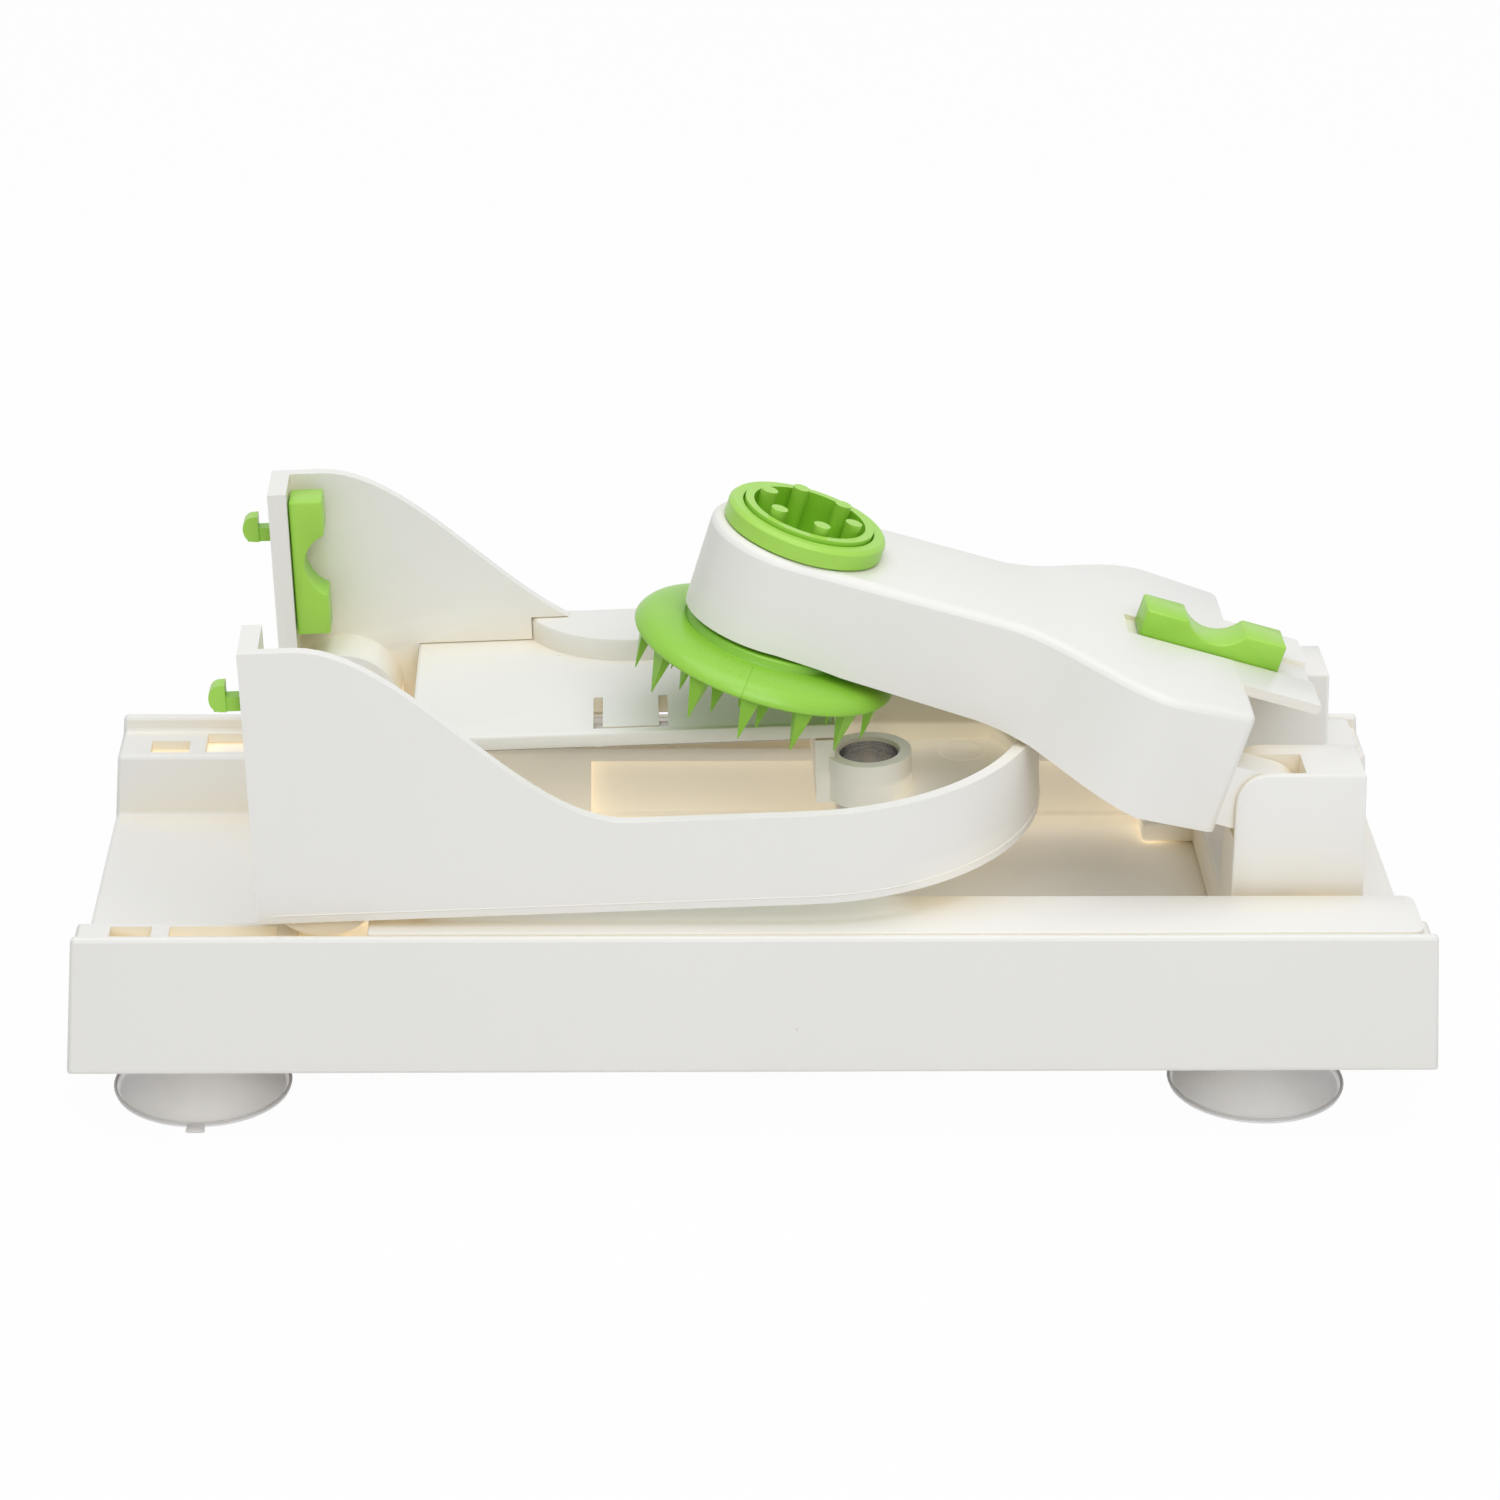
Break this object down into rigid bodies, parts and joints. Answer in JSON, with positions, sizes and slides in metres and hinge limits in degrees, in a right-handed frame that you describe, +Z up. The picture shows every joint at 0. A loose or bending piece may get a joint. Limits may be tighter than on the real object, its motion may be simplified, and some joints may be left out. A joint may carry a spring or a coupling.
{
  "type": "folding spiralizer",
  "caption": "Folding tabletop vegetable spiralizer: suction-cup tray, folded blade frame with corer and slide-out cassette, and a hinged drive arm with a spiked disc.",
  "frame": {"origin": "on the table under the middle of the tray", "axes": "+X towards the hinge end of the drive arm, +Y to the back where the cassette slides out, +Z up"},
  "size_m": [0.3148, 0.1254, 0.1373],
  "materials": {
    "ivory_plastic": "glossy warm white moulded ABS",
    "green_plastic": "glossy apple green moulded ABS",
    "steel": "bright stainless steel",
    "clear_vinyl": "clear soft vinyl, faintly grey"
  },
  "bodies": {
    "base": {"base_tray": "ivory_plastic", "rail_cap_front": "ivory_plastic", "rail_cap_back": "ivory_plastic", "suction_cup_front_left": "clear_vinyl", "suction_cup_back_left": "clear_vinyl", "suction_cup_front_right": "clear_vinyl", "suction_cup_back_right": "clear_vinyl", "rail_cap_screw_front_1": "steel", "rail_cap_screw_front_2": "steel", "rail_cap_screw_front_3": "steel", "rail_cap_screw_back_1": "steel", "rail_cap_screw_back_2": "steel", "rail_cap_screw_back_3": "steel", "blade_frame": "ivory_plastic", "frame_pivot_pin_front": "steel", "frame_pivot_pin_back": "steel", "corer_tube": "steel", "carriage": "ivory_plastic", "arm_pivot_pin_front": "steel", "arm_pivot_pin_back": "steel"},
    "arm": {"arm_shell": "ivory_plastic", "collar_bush": "green_plastic"},
    "disc": {"drive_socket": "green_plastic", "spiked_disc": "green_plastic", "disc_screw": "steel", "thrust_washer": "steel"},
    "arm_catch": {"arm_latch": "green_plastic"},
    "foot_catch_front": {"foot_latch_front": "green_plastic"},
    "foot_catch_back": {"foot_latch_back": "green_plastic"},
    "cassette": {"blade_cassette": "ivory_plastic", "straight_blade": "steel", "blade_rivet_1": "steel", "blade_rivet_2": "steel", "blade_rivet_3": "steel"}
  },
  "joints": [
    {"name": "arm_fold", "type": "hinge", "parent": "base", "child": "arm", "pos_m": [0.1185, 0, 0.074], "axis": [0, 1, 0], "range_deg": [0, 73.9]},
    {"name": "disc_spin", "type": "hinge", "parent": "arm", "child": "disc", "pos_m": [0.01134, 0, 0.12679], "axis": [0.2773, 0, 0.9608], "continuous": true},
    {"name": "arm_latch_slide", "type": "slide", "parent": "arm", "child": "arm_catch", "axis": [-0.9608, 0, 0.2773], "range_m": [0, 0.0025]},
    {"name": "foot_latch_front_slide", "type": "slide", "parent": "base", "child": "foot_catch_front", "axis": [-0.0389, 0, 0.9992], "range_m": [-0.0025, 0]},
    {"name": "foot_latch_back_slide", "type": "slide", "parent": "base", "child": "foot_catch_back", "axis": [-0.0389, 0, 0.9992], "range_m": [-0.0025, 0]},
    {"name": "cassette_slide", "type": "slide", "parent": "base", "child": "cassette", "axis": [0, 1, 0], "range_m": [0, 0.055]}
  ]
}
